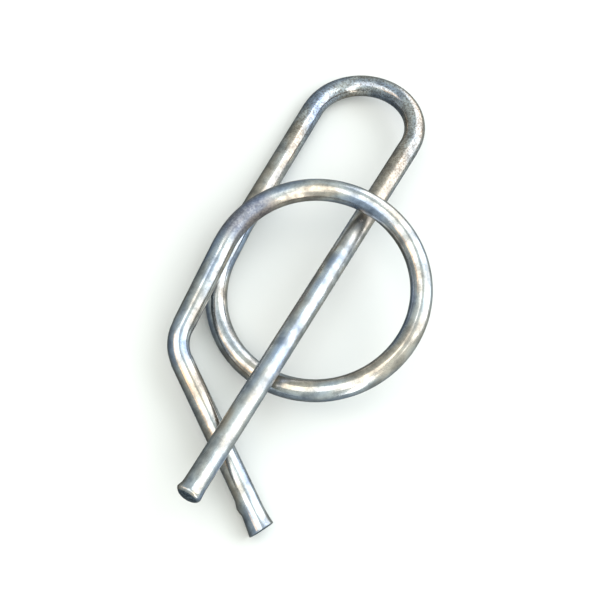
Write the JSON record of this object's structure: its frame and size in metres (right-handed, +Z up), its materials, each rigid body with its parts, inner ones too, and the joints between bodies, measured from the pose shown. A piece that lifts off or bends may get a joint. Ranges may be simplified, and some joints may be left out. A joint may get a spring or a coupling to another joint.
{
  "type": "locking ring cotter pin",
  "caption": "Spring wire clip: a straight leg in a hairpin bend, then a ring that crosses over and under the leg and ends in a bent tail.",
  "frame": {"origin": "on the table, under the middle of the pin: the bottom centre of its box", "axes": "+Z up, with the pin at rest on a table; +X along the straight leg in plan, from its free end towards the hairpin bend"},
  "size_m": [0.0557, 0.0247, 0.0093],
  "materials": {
    "zinc_plated_steel": "bright zinc plate over drawn spring wire"
  },
  "bodies": {
    "root": {"pin": "zinc_plated_steel"}
  },
  "joints": []
}
